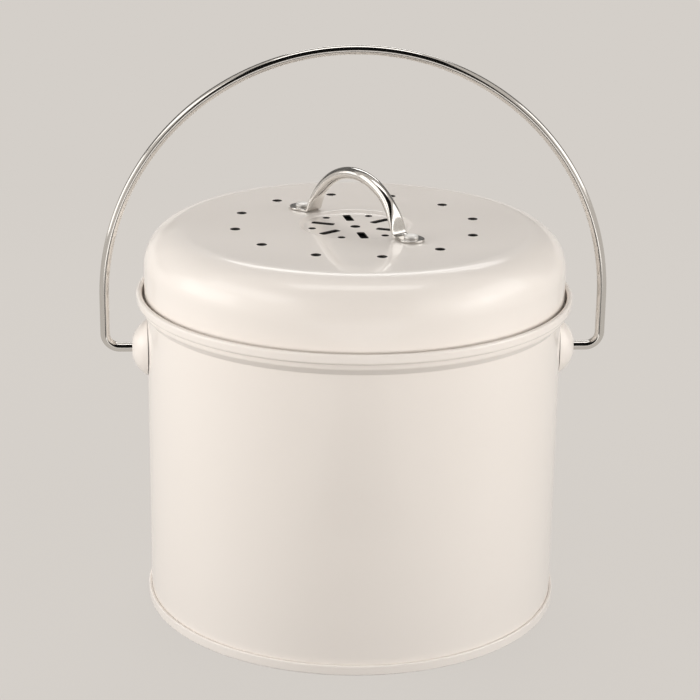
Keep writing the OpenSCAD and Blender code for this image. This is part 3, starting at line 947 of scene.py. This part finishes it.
def handle_line():
    """Stops from a tab's tip to the crown: x, z, outward x and z, half width, half thickness, power."""
    stops = []
    for i in range(16):
        a = math.radians(90 * i / 15)
        blunt = min(1, math.sin(a) + 0.02)
        stops.append((
            RIVET_R + TAB_END * math.cos(a), TAB_HALF, 0, 1, TAB_HALF_WIDE * max(math.sin(a), 0.05),
            TAB_HALF * (0.72 + 0.28 * ease(blunt * 3)), FLAT_POWER
        ))
    for i in range(1, 8):
        wide = TAB_HALF_WIDE + (NECK_HALF_WIDE - TAB_HALF_WIDE) * ease(i / 8)
        stops.append((RIVET_R + (fold_x - RIVET_R) * i / 8, TAB_HALF, 0, 1, wide, TAB_HALF, FLAT_POWER))
    for i in range(11):
        a = fold_turn * i / 10
        stops.append((
            fold_x - FOLD_MID * math.sin(a), TAB_HALF + FOLD_MID * (1 - math.cos(a)),
            math.sin(a), math.cos(a), NECK_HALF_WIDE, TAB_HALF, FLAT_POWER
        ))
    for i in range(1, 25):
        a = flare_start + FLARE_TURN * i / 24
        wide, thick = ease(i / 24), ease(i / 18)
        stops.append((
            ARCH_R * math.cos(a), ARCH_R * math.sin(a) - ARCH_DROP, math.cos(a), math.sin(a),
            NECK_HALF_WIDE + (BAR_R - NECK_HALF_WIDE) * wide, TAB_HALF + (BAR_R - TAB_HALF) * thick,
            FLAT_POWER + (1 - FLAT_POWER) * thick
        ))
    last = flare_start + FLARE_TURN
    for i in range(1, 25):
        a = last + (math.pi / 2 - last) * i / 24
        stops.append((
            ARCH_R * math.cos(a), ARCH_R * math.sin(a) - ARCH_DROP, math.cos(a), math.sin(a),
            BAR_R, BAR_R, 1
        ))
    return stops


def handle_mesh():
    half = handle_line()
    whole = half + [(-x, z, -ox, oz, w, t, p) for x, z, ox, oz, w, t, p in half[-2::-1]]
    rings, along, length = [], [], 0.0
    for i, (x, z, ox, oz, wide, thick, power) in enumerate(whole):
        if i:
            length += math.hypot(x - whole[i - 1][0], z - whole[i - 1][1])
        ring = []
        for j in range(BAR_SIDES):
            a = 2 * math.pi * (j + 0.5) / BAR_SIDES
            c, s = math.cos(a), math.sin(a)
            out = thick * math.copysign(abs(s) ** power, s)
            ring.append(Vector((x + ox * out, wide * math.copysign(abs(c) ** power, c), z + oz * out)))
        rings.append(ring)
        along.append(length)
    mesh = loft("lid_handle", rings, along)
    mesh.transform(Matrix.Rotation(LID_TURN, 4, "Z") @ Matrix.Translation((0, 0, lid_high.z)))
    return mesh


polished = stainless("polished_stainless_bar", (0.71, 0.69, 0.66), 0.08, 0.14)
tab_high = lid_high.z + 2 * TAB_HALF
bored = run_nodes(
    handle_mesh(), punch_ring, Edge=PUNCH_EDGE, Top=tab_high,
    Finish=polished, Edge_Finish=polished, **RIVET_RING
)
lid_handle = place(
    "lid_handle_polished", sharpen(bored, lid_high.z, tab_high), polished,
    "lid", "stainless_bar", "lid_handle"
)


# Rivets. Two satin stainless rivets with domed heads hold the tabs to the lid. Their tails
# are upset against the underside of the lid.
RIVET_HEAD_R = 0.0029
RIVET_HEAD = 0.0015
DOME_POWER = 0.55
RIVET_SHANK_R = 0.0016
RIVET_TAIL_R = 0.0027
RIVET_TAIL = 0.0012
RIVET_ROUND = 0.0003
TAB_TOP = 0.0011


def rivet_mesh():
    turns = [math.pi / 2 * i / 16 for i in range(16)]
    dome = [
        (RIVET_HEAD_R * math.sin(a), TAB_TOP + 0.0002 + (RIVET_HEAD - 0.0002) * math.cos(a) ** DOME_POWER)
        for a in turns
    ]
    tail = -LID_SHEET - RIVET_TAIL
    rest = rounded([
        dome[-1], (RIVET_HEAD_R, TAB_TOP, 0.00015), (RIVET_SHANK_R, TAB_TOP),
    ])
    rest += rounded([
        (RIVET_SHANK_R, -LID_SHEET), (RIVET_TAIL_R, -LID_SHEET, RIVET_ROUND),
        (RIVET_TAIL_R, tail, RIVET_ROUND), (0, tail)
    ])
    mesh = lathe([(p[0], p[1]) for p in dome[:-1]] + [(p[0], p[1]) for p in rest], steps=40)
    drawn = mesh.attributes.new("drawn", "FLOAT_VECTOR", "POINT")
    for i, vert in enumerate(mesh.vertices):
        drawn.data[i].vector = (vert.co.x, vert.co.y, vert.co.z * 20)
    return mesh


def spread_tree():
    """Nodes that set copies of a piece in a ring, each turned away from the middle."""
    tree = bpy.data.node_groups.new("set_in_ring", "GeometryNodeTree")
    face = tree.interface
    face.new_socket("Piece", in_out="INPUT", socket_type="NodeSocketGeometry")
    face.new_socket("Count", in_out="INPUT", socket_type="NodeSocketInt")
    for name in ("Radius", "Height", "First Turn"):
        face.new_socket(name, in_out="INPUT", socket_type="NodeSocketFloat")
    face.new_socket("Finish", in_out="INPUT", socket_type="NodeSocketMaterial")
    face.new_socket("Ring", in_out="OUTPUT", socket_type="NodeSocketGeometry")
    given = add_node(tree, "NodeGroupInput").outputs
    spots, facing = ring_of_spots(tree, given, given["First Turn"], given["Height"])
    spread = add_node(tree, "GeometryNodeInstanceOnPoints")
    real = add_node(tree, "GeometryNodeRealizeInstances")
    coat = add_node(tree, "GeometryNodeSetMaterial")
    out = add_node(tree, "NodeGroupOutput")
    wire_up(
        tree,
        (spots, spread.inputs["Points"]), (facing, spread.inputs["Rotation"]),
        (given["Piece"], spread.inputs["Instance"]),
        (spread.outputs[0], real.inputs[0]), (real.outputs[0], coat.inputs["Geometry"]),
        (given["Finish"], coat.inputs["Material"]), (coat.outputs[0], out.inputs["Ring"])
    )
    return tree


set_in_ring = spread_tree()
satin = stainless("satin_rivet_steel", (0.86, 0.84, 0.81), 0.42, 0.55, metal=0.75)
rivets = run_nodes(
    rivet_mesh(), set_in_ring, Count=2, Radius=RIVET_R, Height=lid_high.z, First_Turn=LID_TURN,
    Finish=satin
)
handle_rivets = place("handle_rivets_satin", rivets, satin, "lid", "rivet_steel", "handle_rivets")


# Filter clips. Four strips of 0.6 mm steel, bent twice: a foot spot-welded to the underside of
# the lid, a leg beside the filter and a toe under it. They are coated with the lid.
CLIP_IN = 0.0586
CLIP_WIDE = 0.01
CLIP_SHEET = 0.0006
CLIP_FOOT = 0.008
CLIP_TOE = 0.007
CLIP_BEND = 0.0009
CLIP_EDGE = 0.00012
toe_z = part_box("filter_clip_1")[0].z + CLIP_SHEET / 2


def clip_mesh():
    leg = CLIP_IN + CLIP_SHEET / 2
    foot_z = lid_high.z - LID_SHEET - CLIP_SHEET / 2
    strip = sheet_outline(rounded([
        (CLIP_IN + CLIP_FOOT - CLIP_SHEET / 2, foot_z),
        (leg, foot_z, CLIP_BEND),
        (leg, toe_z, CLIP_BEND),
        (CLIP_IN + CLIP_SHEET - CLIP_TOE + CLIP_SHEET / 2, toe_z)
    ]), CLIP_SHEET)
    bm = bmesh.new()
    ends = [
        [bm.verts.new((p[0] - CLIP_IN, y, p[1])) for p in strip] for y in (-CLIP_WIDE / 2, CLIP_WIDE / 2)
    ]
    bm.faces.new(ends[0])
    bm.faces.new(ends[1][::-1])
    for i in range(len(strip)):
        j = (i + 1) % len(strip)
        bm.faces.new((ends[0][i], ends[1][i], ends[1][j], ends[0][j]))
    bmesh.ops.recalc_face_normals(bm, faces=bm.faces)
    rims = [e for e in bm.edges if len(e.link_faces) == 2 and max(len(f.verts) for f in e.link_faces) > 4]
    bmesh.ops.bevel(
        bm, geom=rims, offset=CLIP_EDGE, segments=2, profile=0.5, affect="EDGES", clamp_overlap=True
    )
    clean(bm)
    mesh = bpy.data.meshes.new("clip")
    bm.to_mesh(mesh)
    bm.free()
    return mesh


clips = run_nodes(
    clip_mesh(), set_in_ring, Count=4, Radius=CLIP_IN, Height=0.0,
    First_Turn=LID_TURN + math.radians(45), Finish=cream
)
place(
    "filter_clips_painted", clips, cream, "lid", "cream_coat",
    "filter_clip_1", "filter_clip_2", "filter_clip_3", "filter_clip_4"
)


# Charcoal filter. A round pad of needled felt filled with carbon, 8 mm thick, cut with a soft
# edge. It is pushed up into the lid and rests on the toes of the four clips.
FELT_SINK = 0.00035
FELT_RINGS = 30
FELT_STEPS = 180
felt_low, felt_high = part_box("charcoal_filter")


def felt_mesh():
    """A pad with a soft round edge. Its faces are uneven, and sink more towards the edge."""
    edge_r = 0.0025
    radius = felt_high.x - 0.0002
    thick = felt_high.z - felt_low.z - 0.0001
    middle = (felt_high.z + felt_low.z) / 2
    flat = radius - edge_r
    side = [(flat * i / FELT_RINGS, thick / 2) for i in range(FELT_RINGS + 1)]
    for i in range(1, 9):
        a = math.radians(90 * i / 8)
        side.append((flat + edge_r * math.sin(a), thick / 2 - edge_r * (1 - math.cos(a))))
    side += [(r, -z) for r, z in side[::-1]]
    mesh = lathe(side, steps=FELT_STEPS)
    for vert in mesh.vertices:
        r = math.hypot(vert.co.x, vert.co.y)
        uneven = 0.5 + 0.5 * noise.noise(vert.co * 90)
        fuzz = 0.5 + 0.5 * noise.noise(vert.co * 900)
        crown = 1 - (r / radius) ** 2
        sink = FELT_SINK * (uneven * 0.7 + fuzz * 0.3) * (1.3 - 0.5 * crown)
        share = sink / (thick / 2)
        vert.co.z *= 1 - share
        if r > flat:
            vert.co.xy *= 1 - sink / radius
        vert.co.z += middle
    return mesh


def carbon_felt():
    """Matt black felt: tangled fibres, needle marks in rows and a little grey dust."""
    made = bpy.data.materials.new("carbon_felt")
    made.use_nodes = True
    tree = made.node_tree
    felt = tree.nodes["Principled BSDF"]
    place_on = add_node(tree, "ShaderNodeTexCoord").outputs["Object"]
    wool = add_node(tree, "ShaderNodeTexNoise", Scale=900.0, Detail=6.0, Distortion=2.5)
    marks = add_node(tree, "ShaderNodeTexVoronoi", Scale=420.0)
    dust = add_node(tree, "ShaderNodeTexNoise", Scale=60.0, Detail=5.0)
    tint = add_node(tree, "ShaderNodeValToRGB")
    tint.color_ramp.elements[0].position = 0.35
    tint.color_ramp.elements[0].color = (0.004, 0.004, 0.0045, 1)
    tint.color_ramp.elements[1].position = 0.75
    tint.color_ramp.elements[1].color = (0.022, 0.021, 0.02, 1)
    blend = add_node(tree, "ShaderNodeMath", operation="MULTIPLY_ADD")
    blend.inputs[1].default_value = 0.7
    deep = add_node(tree, "ShaderNodeMath", operation="MULTIPLY_ADD")
    deep.inputs[1].default_value = 0.5
    spread = add_node(tree, "ShaderNodeMath", operation="MULTIPLY")
    spread.inputs[1].default_value = 0.3
    bump = add_node(tree, "ShaderNodeBump", Strength=0.8, Distance=0.0006)
    wire_up(
        tree,
        (place_on, wool.inputs["Vector"]), (place_on, marks.inputs["Vector"]),
        (place_on, dust.inputs["Vector"]), (dust.outputs["Fac"], spread.inputs[0]),
        (wool.outputs["Fac"], blend.inputs[0]), (spread.outputs[0], blend.inputs[2]),
        (blend.outputs[0], tint.inputs["Fac"]), (tint.outputs["Color"], felt.inputs["Base Color"]),
        (marks.outputs["Distance"], deep.inputs[0]), (wool.outputs["Fac"], deep.inputs[2]),
        (deep.outputs[0], bump.inputs["Height"]), (bump.outputs["Normal"], felt.inputs["Normal"])
    )
    felt.inputs["Roughness"].default_value = 0.95
    felt.inputs["Specular IOR Level"].default_value = 0.15
    felt.inputs["Sheen Weight"].default_value = 0.05
    felt.inputs["Sheen Roughness"].default_value = 0.6
    return made


charcoal_filter = place(
    "charcoal_filter_felt", felt_mesh(), carbon_felt(), "lid", "carbon_felt", "charcoal_filter"
)
